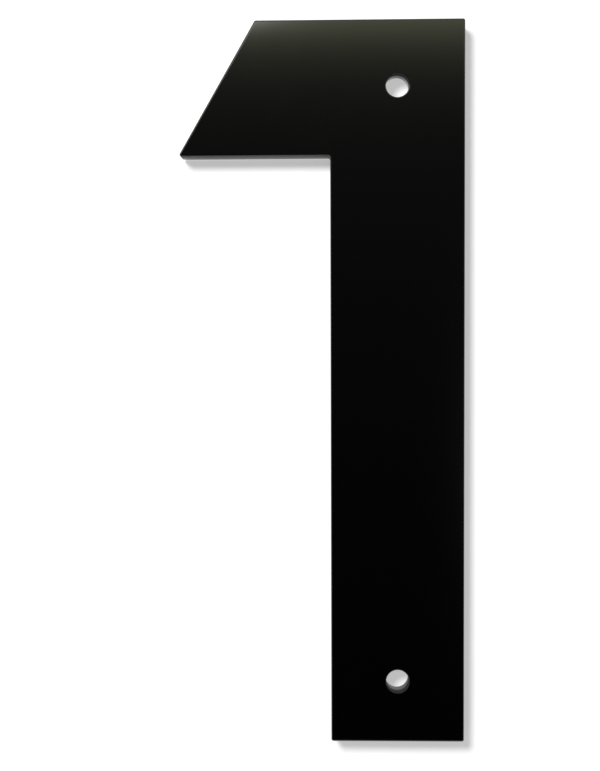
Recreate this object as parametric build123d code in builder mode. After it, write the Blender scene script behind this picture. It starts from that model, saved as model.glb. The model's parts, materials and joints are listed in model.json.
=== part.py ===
from build123d import *
from math import radians, tan
import os

# A floating house number: the digit 1, cut in one piece from thick sheet.
# +Z is up and the front looks along -Y. The back face lies on y = 0, and the origin
# is midway between the two fixing holes, on the stem's centre line.

# Outline, in millimetres and degrees
height = 200.0  # from the foot to the top edge
stem_width = 37.0
flag_depth = 37.0  # from the top edge down to the flag's underside
flag_reach = 42.0  # from the stem's side out to the flag's tip
end_slope = 30.0  # lean of the flag's end from upright
corner_radius = 0.6  # corners in plan, as the cutter leaves them

# Sheet
thickness = 6.0
arris_radius = 0.4  # broken edge round both faces

# Fixing holes
hole_diameter = 6.4  # clears a 6 mm stud
upper_hole_inset = 18.0  # from the upper hole's centre to the top edge
lower_hole_inset = 17.0  # from the lower hole's centre to the foot
hole_chamfer = 0.15  # deburred rims

# Places that follow from the sizes
hole_pitch = height - upper_hole_inset - lower_hole_inset
head = hole_pitch / 2 + upper_hole_inset
foot = head - height
stem_left = -stem_width / 2
stem_right = stem_width / 2
flag_underside = head - flag_depth
flag_tip = stem_left - flag_reach
flag_shoulder = flag_tip + flag_depth * tan(radians(end_slope))
front_plane = Plane.XZ.offset(thickness)

os.makedirs("parts", exist_ok=True)

with BuildPart() as number_plate:
    # The numeral's outline, drawn on the back face and carried forward through the sheet
    with BuildSketch(Plane.XZ) as outline:
        with BuildLine():
            Polyline(
                (stem_right, foot),
                (stem_right, head),
                (flag_shoulder, head),
                (flag_tip, flag_underside),
                (stem_left, flag_underside),
                (stem_left, foot),
                close=True,
            )
        make_face()
        fillet(outline.vertices(), radius=corner_radius)
    extrude(amount=thickness)

    # Broken arris round the front and back faces
    fillet(number_plate.faces().filter_by(Axis.Y).edges(), radius=arris_radius)

    # Two holes drilled through from the front, with both rims deburred
    with Locations(front_plane):
        with GridLocations(0, hole_pitch, 1, 2):
            Hole(hole_diameter / 2)
    chamfer(number_plate.edges(Select.LAST).filter_by(GeomType.CIRCLE), length=hole_chamfer)

number_plate.part.label = "number_plate"
export_step(number_plate.part, "parts/number_plate.step")
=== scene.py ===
# %% [markdown]
# # A floating house number
# The object is one flat numeral, the digit 1, cut from thick gloss black sheet and drilled for two studs.
# The packed solids give its place and its size. Here it gets the surface that a camera sees: mirror-like
# faces, satin cut edges and a fine broken arris between them. So the first step is to load those solids
# and to keep their box, because nothing made below may grow out of it.

# %% Load the solids as the fixed frame
import json
from functools import partial, reduce
from itertools import starmap
from math import ceil, pi, radians, tan
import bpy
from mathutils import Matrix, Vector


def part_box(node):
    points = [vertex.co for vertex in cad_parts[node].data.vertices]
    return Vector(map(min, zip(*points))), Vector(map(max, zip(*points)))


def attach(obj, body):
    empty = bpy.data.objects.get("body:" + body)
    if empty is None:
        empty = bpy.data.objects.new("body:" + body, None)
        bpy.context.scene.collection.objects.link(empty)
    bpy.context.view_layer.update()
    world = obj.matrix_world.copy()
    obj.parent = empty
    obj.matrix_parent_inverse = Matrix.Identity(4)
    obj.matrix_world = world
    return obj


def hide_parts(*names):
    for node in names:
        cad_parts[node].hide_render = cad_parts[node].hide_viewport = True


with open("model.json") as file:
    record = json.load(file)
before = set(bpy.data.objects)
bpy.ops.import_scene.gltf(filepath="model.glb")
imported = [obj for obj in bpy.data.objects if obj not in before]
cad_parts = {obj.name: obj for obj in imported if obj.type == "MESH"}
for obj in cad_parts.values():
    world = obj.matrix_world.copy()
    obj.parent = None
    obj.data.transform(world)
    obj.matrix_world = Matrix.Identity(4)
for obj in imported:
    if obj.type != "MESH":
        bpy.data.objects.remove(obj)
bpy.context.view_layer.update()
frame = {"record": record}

from types import SimpleNamespace

import bpy
import numpy as np
from mathutils import Matrix, Vector

# %% [markdown]
# ## Sizes
# What the solids' box and the record's mounts can tell is read from them: the sheet's thickness, the
# stem's width, the ends of the stem and the two holes. The few sizes that a box can't show are written
# here in metres, the same as in the part's source. The numeral stands in the XZ plane with its front
# towards -Y, so a flat point is written as (x, z).

# %% Read the numeral's sizes
MM = 1000  # millimetres in a metre

low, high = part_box("number_plate")
mounts = {mount["name"]: mount for mount in frame["record"]["mounts"]}

THICKNESS = high.y - low.y
FRONT, BACK = -THICKNESS, 0.0
HEAD, FOOT = high.z, low.z
MIDDLE = (HEAD + FOOT) / 2
STEM_SIDE = high.x
FLAG_DEPTH = 0.037
FLAG_REACH = 0.042
END_SLOPE = radians(30)
CORNER_RADIUS = 0.0006
ARRIS_RADIUS = 0.0004
HOLE_CHAMFER = 0.00015
HOLE_RADIUS = mounts["upper_hole"]["dims"]["r_mm"] / MM
UPPER_HOLE = np.array(mounts["upper_hole"]["pos_m"])[[0, 2]]
LOWER_HOLE = np.array(mounts["lower_hole"]["pos_m"])[[0, 2]]

sizes = {"sheet": THICKNESS, "stem width": 2 * STEM_SIDE, "height": HEAD - FOOT, "hole": 2 * HOLE_RADIUS}
print("sizes in mm:", {name: round(size * MM, 2) for name, size in sizes.items()})

# %% [markdown]
# ## Rounded corners
# A cutter can't turn on the spot, so it leaves each corner of its path with a small radius. The arcs could
# be typed in point by point, or left to a Bevel modifier. Here a path is written as its corners alone, and
# a formula turns each of them into an arc. Along with the points it gives their normals, which the edge
# needs later.

# %% Round the corners of a path
PATH_STEP = 0.001
ARC_STEP = radians(11.25)


def rounded_path(corners, radii):
    """Closed path with rounded corners, counter-clockwise as the front shows it.

    A corner where the path turns by t takes radius * tan(t / 2) from both its sides. Along its arc the
    outward normal turns evenly by t, and a point is the arc's centre plus the radius times that normal.
    The straight runs between two arcs are divided evenly. Returns the points, their outward normals and
    the index at which each corner's arc begins.
    """
    corners = np.asarray(corners, dtype=float)
    heading = np.roll(corners, -1, axis=0) - corners
    heading /= np.linalg.norm(heading, axis=1, keepdims=True)
    arriving = np.roll(heading, 1, axis=0)
    cross = arriving[:, 0] * heading[:, 1] - arriving[:, 1] * heading[:, 0]
    turn = np.arctan2(cross, (arriving * heading).sum(axis=1))
    arcs = []
    for corner, before, angle, radius in zip(corners, arriving, turn, radii):
        steps = max(1, ceil(abs(angle) / ARC_STEP)) if radius else 0
        swing = angle * np.linspace(0, 1, steps + 1)[:, None]
        side = np.array([before[1], -before[0]])
        normal = side * np.cos(swing) + before * np.sin(swing)
        hand = np.sign(angle)
        start = corner - before * radius * tan(abs(angle) / 2)
        arcs.append((start + hand * radius * (normal - side), normal))
    points, normals, begins = [], [], []
    for (arc, normal), (following, _) in zip(arcs, arcs[1:] + arcs[:1]):
        begins.append(sum(map(len, points)))
        run = following[0] - arc[-1]
        pieces = ceil(np.linalg.norm(run) / PATH_STEP)
        share = np.arange(1, pieces)[:, None] / pieces
        points += [arc, arc[-1] + share * run]
        normals += [normal, np.repeat(normal[-1:], pieces - 1, axis=0)]
    return np.concatenate(points), np.concatenate(normals), begins


stem_corners = [(STEM_SIDE, FOOT), (STEM_SIDE, HEAD), (-STEM_SIDE, HEAD), (-STEM_SIDE, FOOT)]
print(len(rounded_path(stem_corners, [CORNER_RADIUS] * 4)[0]), "points would go round the stem alone")

# %% [markdown]
# ## The outline
# The numeral has six corners: two at the foot, one at the head, the flag's shoulder and tip, and the inner
# corner under the flag. Drawn as a Blender curve they would give the same line, but written as named
# stations each of them can be found again later. Two pairs of plain points on the stem's sides are added,
# so that the faces can be laid out in three blocks: one round each hole and a plain one between. The last
# digit of a sum could put a point just outside the solids' box, so the path is kept inside it.

# %% Path of the cutter
underside = HEAD - FLAG_DEPTH
tip = -STEM_SIDE - FLAG_REACH
shoulder = tip + FLAG_DEPTH * tan(END_SLOPE)
upper_seam = underside - 2 * CORNER_RADIUS
lower_seam = 2 * LOWER_HOLE[1] - FOOT
stations = {
    "foot right": (STEM_SIDE, FOOT),
    "lower seam right": (STEM_SIDE, lower_seam),
    "upper seam right": (STEM_SIDE, upper_seam),
    "head right": (STEM_SIDE, HEAD),
    "shoulder": (shoulder, HEAD),
    "tip": (tip, underside),
    "inner corner": (-STEM_SIDE, underside),
    "upper seam left": (-STEM_SIDE, upper_seam),
    "lower seam left": (-STEM_SIDE, lower_seam),
    "foot left": (-STEM_SIDE, FOOT),
}
radii = [0 if "seam" in name else CORNER_RADIUS for name in stations]
path, path_normals, begins = rounded_path(list(stations.values()), radii)
path[:, 0] = path[:, 0].clip(low.x, high.x)
at = dict(zip(stations, begins))
print(len(path), "points round the outline")

# %% [markdown]
# ## The edge
# The cut edge is a profile carried along that path: a sliver of the front face, a quarter-round arris, the
# flat cut through the sheet, the arris at the back and a sliver of the back face. A Bevel modifier could
# round a plain extrusion, but it has no say in how the rows are spaced or in the UV map. Carrying the
# profile gives both. The slivers hold the shading: next to them all faces are flat, so the large faces
# keep an exact normal and the highlight stays on the arris.

# %% Profile of the cut edge and of a hole's wall
ARRIS_STEPS = 6
CUT_STEPS = 10
HOLDING = 0.00012

quarter = np.linspace(0, pi / 2, ARRIS_STEPS + 1)
arris_inset = ARRIS_RADIUS * (1 - np.sin(quarter))
arris_depth = ARRIS_RADIUS * (1 - np.cos(quarter))


def through_sheet(inset, depth, edge, drilled):
    """Whole profile from its front half: the half, the flat cut, then the half mirrored at the back.

    Inset is measured into the sheet from the cut and depth from the front face. The first mark says how far
    a point belongs to the cut: 0 on the faces, 1 from the depth of the edge on. The second is the same for
    a drilled hole, and 0 on the outline.
    """
    cut = np.linspace(edge + HOLDING, THICKNESS - edge - HOLDING, CUT_STEPS)
    whole_depth = np.concatenate([depth, cut, THICKNESS - depth[::-1]])
    whole_inset = np.concatenate([inset, np.zeros(CUT_STEPS), inset[::-1]])
    cut_mark = np.clip(np.minimum(whole_depth, THICKNESS - whole_depth) / edge, 0, 1)
    return whole_inset, whole_depth, np.stack([cut_mark, cut_mark * drilled], axis=-1)


edge_profile = through_sheet(
    np.concatenate([[ARRIS_RADIUS + HOLDING], arris_inset]),
    np.concatenate([[0], arris_depth]),
    ARRIS_RADIUS,
    drilled=0,
)
hole_profile = through_sheet(
    np.array([HOLE_CHAMFER + HOLDING, HOLE_CHAMFER, 0]),
    np.array([0, 0, HOLE_CHAMFER]),
    HOLE_CHAMFER,
    drilled=1,
)
print(len(edge_profile[0]), "points across the edge,", len(hole_profile[0]), "through a hole")

# %% [markdown]
# ## Surfaces on grids
# Every surface of the numeral is a grid, a function of two parameters, of one of two kinds. A carried
# profile runs along a closed path. A ruled surface joins two rows of points by straight lines, and that is
# all the faces need: round a hole from its rim out to the block's border, and across the plain middle of
# the stem. Each grid brings its points, its UV places and its two marks, for the cut and for a drilled
# hole.

# %% Carried and ruled grids


def carried(points, normals, profile):
    """Profile carried along a closed path: a point steps inset against the normal and depth to the back.

    The first row is repeated at the end, so that the UV map runs on to the full length of the path. U is
    the distance along the path and V the depth, both in metres.
    """
    inset, depth, marks = profile
    ring = np.arange(len(points) + 1) % len(points)
    flat = points[ring, None] - inset[:, None] * normals[ring, None]
    y = np.broadcast_to(FRONT + depth, flat.shape[:2])
    grid = np.stack([flat[..., 0], y, flat[..., 1]], axis=-1)
    length = np.linalg.norm(np.diff(points[ring], axis=0), axis=1)
    along = np.concatenate([[0], np.cumsum(length)])
    uv = np.stack(np.broadcast_arrays(along[:, None], depth), axis=-1)
    return grid, uv, np.broadcast_to(marks, flat.shape)


def ruled(first, last, rows, y):
    """Straight lines from each point of one row to the same point of another, on the plane at y.

    UV is the flat place itself, (x, z) in metres, and the marks are 0, because no face is a cut.
    """
    share = np.linspace(0, 1, rows + 1)[:, None, None]
    flat = first * (1 - share) + last * share
    grid = np.stack([flat[..., 0], np.full(flat.shape[:2], y), flat[..., 1]], axis=-1)
    return grid, flat, np.zeros(flat.shape)


edge_grid = carried(path, path_normals, edge_profile)
print("the cut edge is a grid of", edge_grid[0].shape[:2], "points")

# %% [markdown]
# ## Blocks of the faces
# The block round the upper hole takes in the flag and the top of the stem. Seen from the hole's centre its
# border turns only one way, so each border point can be ruled straight to the rim. The rim's points follow
# the directions in which the border points lie, spread out a little, because behind a corner of the border
# they would nearly fall together. The lower block is laid out the same way, and the seams between the
# blocks are shared, point for point.

# %% Borders, rims and seams
ACROSS = 24
SPREAD = 0.3

border = path - (ARRIS_RADIUS + HOLDING) * path_normals


def seam(name):
    """Points from left to right across the stem, evenly between the border points of one seam."""
    share = np.linspace(0, 1, ACROSS + 1)[:, None]
    return border[at[name + " seam left"]] * (1 - share) + border[at[name + " seam right"]] * share


def rim_directions(ring, centre):
    """Unit vectors from a hole's centre, one for each point of the border round it.

    Their angles are a weighted mean of the angles at which the border points lie and of even steps round the
    circle, with SPREAD as the weight of the even steps.
    """
    away = ring - centre
    lie = np.unwrap(np.arctan2(away[:, 1], away[:, 0]))
    even = 2 * pi / len(ring) * np.arange(len(ring))
    angle = (1 - SPREAD) * lie + SPREAD * (even - even.mean() + lie.mean())
    return np.stack([np.cos(angle), np.sin(angle)], axis=-1)


upper_sides = border[at["upper seam right"]:at["upper seam left"]]
upper_border = np.concatenate([upper_sides, seam("upper")[:-1]])
lower_sides = [border[at["lower seam left"]:], border[:at["lower seam right"]]]
lower_border = np.concatenate([*lower_sides, seam("lower")[:0:-1]])
holes = [
    (UPPER_HOLE, upper_border, rim_directions(upper_border, UPPER_HOLE)),
    (LOWER_HOLE, lower_border, rim_directions(lower_border, LOWER_HOLE)),
]
stem_left = border[at["upper seam left"]:at["lower seam left"] + 1]
stem_right = border[at["lower seam right"]:at["upper seam right"] + 1][::-1]
print([len(ring) for _, ring, _ in holes], "points round the two blocks,", len(stem_left), "down the stem")

# %% [markdown]
# ## Welding
# The grids are written one after another into a single mesh. Points that two grids share come out equal to
# well under a micrometre, so rounding them and keeping one of each welds them together. Blender's Merge by
# Distance would do the same, but here the whole arrays are at hand. The order of a quad's corners decides
# where its face points, so each grid says whether it is turned over.

# %% Weld grids into one mesh
WELD = 1e-7


def grid_quads(shape, turned=False, start=0):
    """Corner indices of a grid's quads, row by row, counted from start; turned reverses their order."""
    index = start + np.arange(shape[0] * shape[1]).reshape(shape)
    corners = [index[:-1, :-1], index[1:, :-1], index[1:, 1:], index[:-1, 1:]]
    return np.stack(corners[::-1] if turned else corners, axis=-1).reshape(-1, 4)


def welded_mesh(name, grids):
    """Mesh of all the grids' quads, with equal points merged, a UV map and the marks cut and drilled."""
    points = np.concatenate([grid.reshape(-1, 3) for (grid, _, _), _ in grids])
    places = np.concatenate([uv.reshape(-1, 2) for (_, uv, _), _ in grids])
    marks = np.concatenate([mark.reshape(-1, 2) for (_, _, mark), _ in grids])
    starts = np.cumsum([0] + [grid.shape[0] * grid.shape[1] for (grid, _, _), _ in grids])
    quads = np.concatenate(
        [grid_quads(grid.shape[:2], turned, start) for ((grid, _, _), turned), start in zip(grids, starts)]
    )
    _, kept, welded = np.unique(np.round(points / WELD), axis=0, return_index=True, return_inverse=True)
    corners = welded.ravel()[quads]

    mesh = bpy.data.meshes.new(name)
    mesh.vertices.add(len(kept))
    mesh.vertices.foreach_set("co", points[kept].ravel())
    mesh.loops.add(corners.size)
    mesh.loops.foreach_set("vertex_index", corners.ravel())
    mesh.polygons.add(len(corners))
    mesh.polygons.foreach_set("loop_start", np.arange(0, corners.size, 4))
    mesh.uv_layers.new(name="sheet").data.foreach_set("uv", places[quads].ravel())
    for mark, values in zip(("cut", "drilled"), marks[kept].T):
        mesh.attributes.new(mark, "FLOAT", "POINT").data.foreach_set("value", np.ascontiguousarray(values))
    mesh.update(calc_edges=True)
    mesh.shade_smooth()
    return mesh


print(len(grid_quads(edge_grid[0].shape[:2])), "quads in the cut edge")

# %% [markdown]
# ## One closed plate
# The numeral is one piece of sheet, so it is one mesh with no open edge: the cut edge all the way round,
# the wall of each hole, and on both faces a block round each hole and the plain stem between. It takes the
# place of the solid plate and rides on the same body.

# %% Put the plate together
FACE_ROWS = 10

rim_reach = HOLE_RADIUS + HOLE_CHAMFER + HOLDING
grids = [(edge_grid, True)]
for centre, ring, away in holes:
    closed = np.arange(len(ring) + 1) % len(ring)
    rim = centre + rim_reach * away
    grids.append((carried(centre + HOLE_RADIUS * away, -away, hole_profile), False))
    for y in (FRONT, BACK):
        grids.append((ruled(rim[closed], ring[closed], FACE_ROWS, y), y == BACK))
for y in (FRONT, BACK):
    grids.append((ruled(stem_left, stem_right, ACROSS, y), y == FRONT))

plate_mesh = welded_mesh("house_number", grids)
plate = bpy.data.objects.new("house_number", plate_mesh)
bpy.context.collection.objects.link(plate)
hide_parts("number_plate")
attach(plate, "root")
print(len(plate_mesh.vertices), "points and", len(plate_mesh.polygons), "quads in the plate")

# %% [markdown]
# ## Shader arithmetic
# A finish is a formula: a roughness that grows with a smudge, a groove that fades on the face. Drawn as
# nodes, such formulas are hard to read, so one small class wraps a socket and lets Python's own operators
# add the Math nodes. Every other node is made by its one method, settings first and then the sockets.

# %% Wires between nodes


class Wire:
    """An output of a node. Operators on wires and numbers add Math nodes; node() adds any other node."""

    def __init__(self, socket):
        self.socket = socket

    @staticmethod
    def node(tree, kind, settings=None, sockets=None, output=0):
        """New node of a kind, with its settings set first, then its sockets set or linked by name."""
        made = tree.nodes.new(kind)
        for name, value in (settings or {}).items():
            setattr(made, name, value)
        for name, value in (sockets or {}).items():
            if isinstance(value, Wire):
                tree.links.new(value.socket, made.inputs[name])
            else:
                made.inputs[name].default_value = value
        return Wire(made.outputs[output]) if made.outputs else made

    @property
    def tree(self):
        """The node tree in which the wire runs."""
        return self.socket.id_data

    def also(self, output):
        """Another output of the same node."""
        return Wire(self.socket.node.outputs[output])

    def maths(self, operation, *values):
        """Math node on one or two values, of which at least one is a wire."""
        return Wire.node(self.tree, "ShaderNodeMath", {"operation": operation}, dict(enumerate(values)))

    def __add__(self, other):
        return self.maths("ADD", self, other)

    def __radd__(self, other):
        return self.maths("ADD", other, self)

    def __sub__(self, other):
        return self.maths("SUBTRACT", self, other)

    def __rsub__(self, other):
        return self.maths("SUBTRACT", other, self)

    def __mul__(self, other):
        return self.maths("MULTIPLY", self, other)

    def __rmul__(self, other):
        return self.maths("MULTIPLY", other, self)

    def __truediv__(self, other):
        return self.maths("DIVIDE", self, other)

    def __rtruediv__(self, other):
        return self.maths("DIVIDE", other, self)

    def exp(self):
        """The number e to the power of this value."""
        return self.maths("EXPONENT", self)

    def at_least(self, other):
        """The larger of this value and another."""
        return self.maths("MAXIMUM", self, other)

    def at_most(self, other):
        """The smaller of this value and another."""
        return self.maths("MINIMUM", self, other)

    def rise(self, start, end):
        """Smooth step from 0 at start to 1 at end."""
        sockets = {"Value": self, "From Min": start, "From Max": end}
        return Wire.node(self.tree, "ShaderNodeMapRange", {"interpolation_type": "SMOOTHSTEP"}, sockets)


def new_finish(name):
    """Empty material and its node tree."""
    material = bpy.data.materials.new(name)
    material.use_nodes = True
    material.node_tree.nodes.clear()
    return material, material.node_tree


print("besides the operators a wire has", [name for name in vars(Wire) if not name.startswith("_")])

# %% [markdown]
# ## Marks on the sheet
# A perfect mirror would look like glass. The real face has a breath of haze where it was wiped, hairlines
# from the cloth, and a very slight swell from casting. The cutter leaves fine lines through the thickness
# as it goes round, in broader bands where the sheet trembled, and a drill leaves rings. All of these are
# noise with stretched grains, thin across a line and long along it. Pictures of them would do too, but
# they blur close up. On the faces the noise reads the place itself. On the cuts it reads the UV map, which
# runs along the path and through the sheet.

# %% Haze, hairlines, cutting lines and rings
SMUDGE_GRAIN, SMUDGE_RANGE = (0.033, 0.033, 0.033), (0.42, 0.75)
SWELL_GRAIN = (0.014, 0.014, 0.014)
HAIRLINE_GRAIN, HAIRLINE_RANGE = (0.00055, 1.0, 0.045), (0.66, 0.74)
HAIRLINE_TURNS = (0.4, 1.3, 2.5)
DRAG_GRAIN, DRAG_LEAN, DRAG_SHARE = (0.00019, 0.011, 1.0), 0.1, 0.75
CHATTER_GRAIN = (0.0038, 0.083, 1.0)
RING_GRAIN = (0.017, 0.00024, 1.0)


def sheet_marks(tree):
    """Wires that say how far a spot belongs to a mark, and its depth in metres below the front face.

    Smudges and hairlines come up where a noise rises through a range. Hairlines run three ways, and the
    strongest at a spot counts. Cutting lines are a weighted mean of two noises, the cutter's drag and the
    sheet's chatter.
    """
    node = partial(Wire.node, tree)
    place = node("ShaderNodeTexCoord", output="Object")
    sheet_map = node("ShaderNodeUVMap", {"uv_map": "sheet"})

    def noise(where, grain, detail, turn=(0, 0, 0)):
        """Noise with grains of a size in metres along three axes, turned about them by angles in radians."""
        sockets = {"Vector": where, "Rotation": turn, "Scale": grain}
        spread = node("ShaderNodeMapping", {"vector_type": "TEXTURE"}, sockets)
        return node("ShaderNodeTexNoise", None, {"Vector": spread, "Scale": 1.0, "Detail": detail})

    def streaks(angle):
        """Hairlines that run one way on the faces."""
        return noise(place, HAIRLINE_GRAIN, detail=3.0, turn=(0, angle, 0)).rise(*HAIRLINE_RANGE)

    drag = noise(sheet_map, DRAG_GRAIN, detail=2.0, turn=(0, 0, DRAG_LEAN))
    chatter = noise(sheet_map, CHATTER_GRAIN, detail=1.0)
    return SimpleNamespace(
        depth=node("ShaderNodeSeparateXYZ", None, {"Vector": sheet_map}, output="Y"),
        cut=node("ShaderNodeAttribute", {"attribute_name": "cut"}, output="Fac"),
        drilled=node("ShaderNodeAttribute", {"attribute_name": "drilled"}, output="Fac"),
        smudge=noise(place, SMUDGE_GRAIN, detail=4.0).rise(*SMUDGE_RANGE),
        swell=noise(place, SWELL_GRAIN, detail=1.0),
        hairlines=reduce(Wire.at_least, map(streaks, HAIRLINE_TURNS)),
        lines=DRAG_SHARE * drag + (1 - DRAG_SHARE) * chatter,
        rings=noise(sheet_map, RING_GRAIN, detail=2.0),
    )


sheet_finish, sheet_tree = new_finish("gloss_black_sheet")
marks = sheet_marks(sheet_tree)
print("marks", list(vars(marks)), "drawn with", len(sheet_tree.nodes), "nodes")

# %% [markdown]
# ## Gloss black sheet
# Cast black sheet is coloured right through and reflects about four percent of what faces it, so its
# colour is nearly nothing and its look is all reflection. The cut edge is the same stuff without the
# polish: greyer and satin. Next to the front, where the arris was broken by hand, it is sanded matt. A
# drill leaves the wall of a hole matt where it goes in, and polished where it comes out. Three materials
# would meet in hard lines, so there is one, and the marks on the mesh blend one finish into the other
# across the arris.

# %% Finish of the faces and the cut edge
FACE_BLACK = (0.0004, 0.0004, 0.0004, 1)
CUT_BLACK, CUT_GREY = (0.016, 0.016, 0.016, 1), (0.046, 0.046, 0.047, 1)
GREY_RANGE = (0.32, 0.68)
DRILLED_BLACK = (0.004, 0.004, 0.004, 1)
FACE_ROUGHNESS, SMUDGE_ROUGHNESS, HAIRLINE_ROUGHNESS = 0.05, 0.035, 0.05
SANDED_ROUGHNESS, CUT_ROUGHNESS, DRILLED_ROUGHNESS = 0.80, 0.20, 0.05
LINE_ROUGHNESS, NOISE_MEAN = 0.2, 0.5
DRILL_CLEARING = (0.2 * THICKNESS, 0.8 * THICKNESS)
SWELL_HEIGHT, HAIRLINE_DEPTH = 0.0000012, 0.0000004
LINE_HEIGHT, RING_HEIGHT = 0.00003, 0.00003
ACRYLIC_IOR = 1.49


def blend(tree, share, first, second):
    """Colour that goes from the first to the second as share goes from 0 to 1.

    The Mix node has sockets for every kind of value under the same few names, so they go by number here.
    """
    sockets = {0: share, 6: first, 7: second}
    return Wire.node(tree, "ShaderNodeMix", {"data_type": "RGBA"}, sockets, output=2)


def finish_sheet(tree, mark):
    """Principled black plastic, a mean of three finishes weighted by the marks.

    The face has the weight 1 - cut, the outline's edge cut - drilled, and a hole's wall drilled.
    """
    node = partial(Wire.node, tree)
    face, edge, wall = 1 - mark.cut, mark.cut - mark.drilled, mark.drilled
    sanded = 1 - mark.depth.rise(0, THICKNESS)
    entry = 1 - mark.depth.rise(*DRILL_CLEARING)

    cut_colour = blend(tree, mark.lines.rise(*GREY_RANGE), CUT_BLACK, CUT_GREY)
    colour = blend(tree, wall, blend(tree, mark.cut, FACE_BLACK, cut_colour), DRILLED_BLACK)

    face_rough = FACE_ROUGHNESS + SMUDGE_ROUGHNESS * mark.smudge + HAIRLINE_ROUGHNESS * mark.hairlines
    lined = LINE_ROUGHNESS * (mark.lines - NOISE_MEAN)
    edge_rough = CUT_ROUGHNESS + (SANDED_ROUGHNESS - CUT_ROUGHNESS) * sanded + lined
    wall_rough = DRILLED_ROUGHNESS + (SANDED_ROUGHNESS - DRILLED_ROUGHNESS) * entry
    rough = face_rough * face + edge_rough * edge + wall_rough * wall

    face_height = SWELL_HEIGHT * mark.swell - HAIRLINE_DEPTH * mark.hairlines
    height = face_height * face + LINE_HEIGHT * mark.lines * edge + RING_HEIGHT * mark.rings * entry * wall
    bump = node("ShaderNodeBump", None, {"Strength": 1.0, "Distance": 1.0, "Height": height})

    sockets = {"Base Color": colour, "Roughness": rough, "IOR": ACRYLIC_IOR, "Normal": bump}
    shader = node("ShaderNodeBsdfPrincipled", None, sockets)
    node("ShaderNodeOutputMaterial", None, {"Surface": shader})


finish_sheet(sheet_tree, marks)
plate_mesh.materials.append(sheet_finish)
print("finish", plate_mesh.materials[0].name, "with", len(sheet_tree.nodes), "nodes")

# %% [markdown]
# ## Matt white
# The wall and the floor round the number are matt white. What the camera and the reflections see of them
# is lifted a little, so that the open wall is white while the shadow stays. A brighter lamp would do that
# too, but it would also light the number. Seen from behind they vanish, so the back of the number can be
# looked at, and far from it they thin out into the white of the room.

# %% Finish of the wall and the floor
SHADOW_REACH, STAGE_CLEAR, STAGE_REACH = 0.115, 0.18, 0.75
STAGE_WHITE = (0.70, 0.70, 0.70, 1)
STAGE_LIFT, COVERED_LIFT = 0.39, 0.47
WHITE = (1, 1, 1)


def seen_directly(tree):
    """1 for what the camera, a reflection or glass looks at, and 0 for light that only falls on things."""
    ray = Wire.node(tree, "ShaderNodeLightPath", output="Is Camera Ray")
    return ray.at_least(ray.also("Is Glossy Ray")).at_least(ray.also("Is Transmission Ray"))


def shining(tree, lights):
    """Emission of a sum of lights, each a plain colour times a strength that changes over the surface."""
    vectors = partial(Wire.node, tree, "ShaderNodeVectorMath")

    def scaled(colour, strength):
        return vectors({"operation": "SCALE"}, {0: colour, "Scale": strength})

    def added(first, second):
        return vectors({"operation": "ADD"}, {0: first, 1: second})

    return Wire.node(tree, "ShaderNodeEmission", None, {"Color": reduce(added, starmap(scaled, lights))})


def pale_stage(name, near_lift):
    """Matt white that shows its front only, lifted where it is seen directly, thinning out far away."""
    material, tree = new_finish(name)
    node = partial(Wire.node, tree)
    matt = node("ShaderNodeBsdfDiffuse", None, {"Color": STAGE_WHITE})
    place = node("ShaderNodeTexCoord", output="Object")
    away = node("ShaderNodeVectorMath", {"operation": "LENGTH"}, {0: place}, output="Value")
    lift = shining(tree, [(WHITE, (near_lift + away.rise(SHADOW_REACH, STAGE_CLEAR)) * seen_directly(tree))])
    front = node("ShaderNodeAddShader", None, {0: matt, 1: lift})
    behind = node("ShaderNodeNewGeometry", output="Backfacing")
    gone = behind.at_least(away.rise(STAGE_CLEAR, STAGE_REACH))
    clear = node("ShaderNodeBsdfTransparent")
    shader = node("ShaderNodeMixShader", None, {0: gone, 1: front, 2: clear})
    node("ShaderNodeOutputMaterial", None, {"Surface": shader})
    material.cycles.emission_sampling = "NONE"
    return material


pale = pale_stage("pale_stage", STAGE_LIFT)
pale_covered = pale_stage("pale_stage_covered", COVERED_LIFT)
print("stage finishes", pale.name, "and", pale_covered.name)

# %% [markdown]
# ## Wall and floor
# The number is shown in front of a pale wall, close enough to drop a short shadow on it, with a pale floor
# well below. The part of the wall that the number covers is a sheet of its own. It is left out of
# reflections, or the back would mirror nothing but its own shade. Hardly any of the room's light gets in
# there, so it is lifted a little more: that is what shows through the holes.

# %% Pale wall and floor
WALL_GAP = 0.0018
FLOOR_DROP = 0.25


def stage_sheet(name, corners, quads, material):
    """Flat sheet of quads whose corners run counter-clockwise as seen from its front."""
    mesh = bpy.data.meshes.new(name)
    mesh.from_pydata(corners, [], quads)
    mesh.materials.append(material)
    sheet = bpy.data.objects.new(name, mesh)
    bpy.context.collection.objects.link(sheet)
    return sheet


floor = FOOT - FLOOR_DROP
wall_x = [-STAGE_REACH, tip, -STEM_SIDE, STEM_SIDE, STAGE_REACH]
wall_z = [floor, FOOT, underside, HEAD, STAGE_REACH]
wall_corners = [(x, BACK + WALL_GAP, z) for x in wall_x for z in wall_z]
wall_cells = grid_quads((len(wall_x), len(wall_z)))
flag_cell, stem_cell, top_cell = (1, 2), (2, 1), (2, 2)
covered = np.zeros((len(wall_x) - 1, len(wall_z) - 1), dtype=bool)
covered[tuple(np.transpose([flag_cell, stem_cell, top_cell]))] = True
covered = covered.ravel()
stage_sheet("wall", wall_corners, wall_cells[~covered].tolist(), pale)
shaded = stage_sheet("wall_behind_number", wall_corners, wall_cells[covered].tolist(), pale_covered)
shaded.visible_glossy = False

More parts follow.
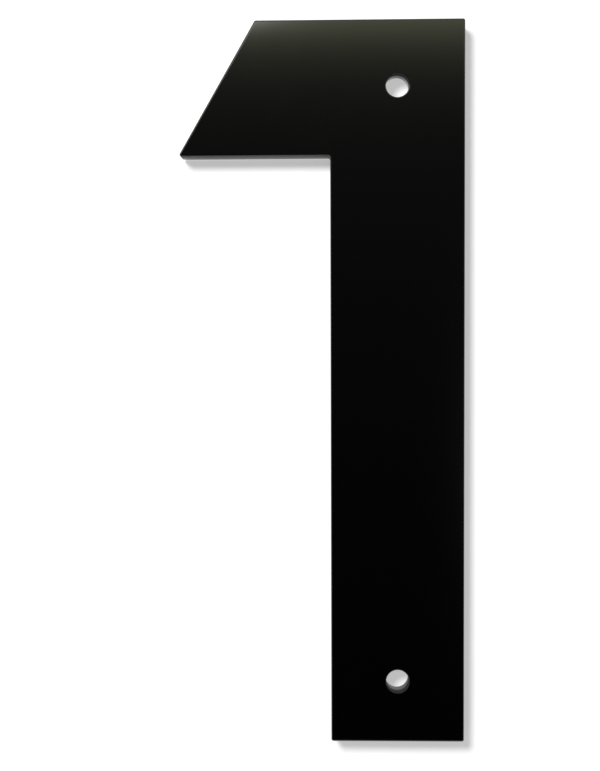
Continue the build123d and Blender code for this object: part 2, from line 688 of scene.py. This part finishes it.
floor_sides = [(-STAGE_REACH, -STAGE_REACH), (STAGE_REACH, -STAGE_REACH)]
floor_sides += [(x, BACK + WALL_GAP) for x, _ in floor_sides[::-1]]
ground = stage_sheet("floor", [(x, y, floor) for x, y in floor_sides], [(0, 1, 2, 3)], pale)
ground.visible_diffuse = False
print(f"wall {WALL_GAP * MM:.1f} mm behind the number, floor {FLOOR_DROP * MM:.0f} mm below it")

# %% [markdown]
# ## Mirrored light
# Gloss black shows what stands in front of it. Facing it is a dark panel that grows light towards its top,
# which puts the soft bright band on the flag and leaves the stem black. Tall strips at the panel's sides
# show the gloss when the number is looked at from an angle. Lamps could be mirrored too, but a panel's
# light is a formula that can fade just as it should.

# %% Light of the front panel
PANEL_TOP = 0.42
BAND_FOOT = MIDDLE + 0.269
BAND_LIGHT, BAND_FADE = 1.45, 0.019
BAND_COLOUR = (1.0, 1.04, 0.67)
RIM_LIGHT, RIM_FADE, RIM_LEAN, RIM_PLACE = 4.2, 0.0035, 0.022, -0.078
HAZE_LIGHT, HAZE_FADE = 0.16, 0.19
SIDE_LIGHT, SIDE_FADE = 0.06, 0.012
SIDE_PLACE, SIDE_HEIGHT, SIDE_TALL = 0.09, MIDDLE - 0.08, 0.12
STRIP_LIGHT, STRIP_PLACE, STRIP_SPREAD = 1.0, 0.62, 0.07
STRIP_HEIGHT, STRIP_TALL = -0.15, 0.35


def front_shine(x, z):
    """Soft lights on a dark panel, all fading by exponentials.

    A warm band fades downwards, and a haze does so more slowly. The band's rim, top left, fades downwards
    and to the right. Above the band all three give way smoothly to the white of the room. A faint strip
    beside the stem's mirror image fades sideways, as a bell over the height. Far out on both sides stands
    a tall strip, a bell both ways, which the camera in front of the number doesn't see mirrored, but one
    beside it does.
    """
    drop = (z - BAND_FOOT).at_most(0.0)
    above = z.rise(BAND_FOOT, PANEL_TOP)
    aside = (x - RIM_PLACE).at_least(0.0)
    band = BAND_LIGHT * (drop / BAND_FADE).exp()
    rim = RIM_LIGHT * (drop / RIM_FADE - aside / RIM_LEAN).exp()
    haze = HAZE_LIGHT * (drop / HAZE_FADE).exp()
    level = (z - SIDE_HEIGHT) / SIDE_TALL
    side = SIDE_LIGHT * ((x - SIDE_PLACE).at_most(0.0) / SIDE_FADE - level * level).exp()
    outward = (x * x - STRIP_PLACE * STRIP_PLACE) / STRIP_SPREAD
    upward = (z - STRIP_HEIGHT) / STRIP_TALL
    strips = STRIP_LIGHT * (0 - outward * outward - upward * upward).exp()
    return [(BAND_COLOUR, band * (1 - above)), (WHITE, (rim + haze) * (1 - above) + above + side + strips)]


def glow(name, shine):
    """Material that glows by a formula: shine turns a place (x, z) into colours and their strengths."""
    material, tree = new_finish(name)
    place = Wire.node(tree, "ShaderNodeTexCoord", output="Object")
    x = Wire.node(tree, "ShaderNodeSeparateXYZ", None, {"Vector": place}, output="X")
    shader = shining(tree, shine(x, x.also("Z")))
    Wire.node(tree, "ShaderNodeOutputMaterial", None, {"Surface": shader})
    material.cycles.emission_sampling = "NONE"
    return material


front_glow = glow("front_panel", front_shine)
print("the front panel's light takes", len(front_glow.node_tree.nodes), "nodes")

# %% [markdown]
# ## Panels
# The panels are large upright sheets, one in front of the number and one behind it. The back of the number
# is seen less and has no band to match, so its panel only grows lighter with the height. Only reflections
# see the panels: to the camera, the wall and the shadows they aren't there.

# %% Hang the panels
PANEL_AWAY = 0.6
PANEL_HALF_WIDTH = 0.8
PANEL_FOOT = -1.0
BACK_DIM, BACK_GAIN, BACK_RANGE = 0.03, 0.9, (-0.5, 0.4)


def back_shine(x, z):
    """One light that rises smoothly with the height."""
    return [(WHITE, BACK_DIM + BACK_GAIN * z.rise(*BACK_RANGE))]


def panel(name, y, material):
    """Upright panel at y, seen by reflections only."""
    sides = [(PANEL_HALF_WIDTH, PANEL_FOOT), (-PANEL_HALF_WIDTH, PANEL_FOOT)]
    sides += [(x, PANEL_TOP) for x, _ in sides[::-1]]
    sheet = stage_sheet(name, [(x, y, z) for x, z in sides], [(0, 1, 2, 3)], material)
    for kind in ("camera", "diffuse", "transmission", "volume_scatter", "shadow"):
        setattr(sheet, "visible_" + kind, False)


panel("front_panel", FRONT - PANEL_AWAY, front_glow)
panel("back_panel", BACK + PANEL_AWAY, glow("back_panel", back_shine))
print(f"panels {PANEL_AWAY} m in front of the number and behind it")

# %% [markdown]
# ## Light on the wall
# The short soft shadow comes from one lamp, up to the left, and its size sets how soft the shadow's edge
# is. A sun lamp would cast one too, but the camera is so near that it would see it wider under the flag
# than at the foot. This lamp stands nearly as close, so the shadow comes out about as wide in both places.
# Its falloff is constant, so that being near doesn't light the top more than the foot, and reflections
# don't show it. With that falloff, 4 pi squared watts light a white wall to a level of 1.

# %% Key lamp
KEY_PLACE = (-0.190, -0.476, MIDDLE + 0.230)
KEY_RADIUS = 0.085
KEY_LEVEL = 1.00

key_light = bpy.data.lights.new("key", "POINT")
key_light.shadow_soft_size = KEY_RADIUS
key_light.energy = KEY_LEVEL * (2 * pi) ** 2
key_light.use_nodes = True
key_tree = key_light.node_tree
key_tree.nodes.clear()
even = Wire.node(key_tree, "ShaderNodeLightFalloff", None, {"Strength": 1.0}, output="Constant")
beam = Wire.node(key_tree, "ShaderNodeEmission", None, {"Strength": even})
Wire.node(key_tree, "ShaderNodeOutputLight", None, {"Surface": beam})
key = bpy.data.objects.new("key", key_light)
key.location = KEY_PLACE
key.visible_glossy = False
key.visible_camera = False
bpy.context.collection.objects.link(key)
print(f"key lamp of {key_light.energy:.1f} W")

# %% [markdown]
# ## The room
# Daylight in a pale room comes from all round, so the shadow isn't black. The world gives that light, a
# weak one, but to the camera and in reflections it is plain white. The colours stay as they are written,
# with no film look over them.

# %% Surrounding light
FILL_LEVEL = 0.25

world = bpy.data.worlds.new("pale_room")
world.use_nodes = True
room_tree = world.node_tree
room_tree.nodes.clear()
room = FILL_LEVEL + (1 - FILL_LEVEL) * seen_directly(room_tree)
air = Wire.node(room_tree, "ShaderNodeBackground", None, {"Color": (*WHITE, 1), "Strength": room})
Wire.node(room_tree, "ShaderNodeOutputWorld", None, {"Surface": air})
bpy.context.scene.world = world
bpy.context.scene.view_settings.view_transform = "Standard"
print("light from all round at a level of", FILL_LEVEL)

# %% [markdown]
# ## Camera
# The photograph was taken from close by, in front of the stem's left side and a little above its middle,
# with the camera turned slightly to the left and down. That is why the flag's underside shows while the
# stem's sides don't.

# %% Camera at the photograph's place
CAMERA_PLACE = Vector((-0.01939, -0.32058, MIDDLE + 0.01126))
CAMERA_YAW = radians(1.386)
CAMERA_PITCH = radians(-2.094)
CAMERA_ROLL = radians(-0.188)
PICTURE_HEIGHT = 771
FOCAL_PIXELS = 1136.5
SENSOR = 36
NEAREST = 0.01

camera_data = bpy.data.cameras.new("camera")
camera_data.sensor_width = SENSOR
camera_data.lens = FOCAL_PIXELS / PICTURE_HEIGHT * SENSOR
camera_data.clip_start = NEAREST
camera = bpy.data.objects.new("camera", camera_data)
turn = (
    Matrix.Rotation(CAMERA_YAW, 3, "Z")
    @ Matrix.Rotation(pi / 2 + CAMERA_PITCH, 3, "X")
    @ Matrix.Rotation(CAMERA_ROLL, 3, "Z")
)
camera.matrix_world = Matrix.Translation(CAMERA_PLACE) @ turn.to_4x4()
bpy.context.collection.objects.link(camera)
bpy.context.scene.camera = camera
print(f"lens {camera_data.lens:.1f} mm")
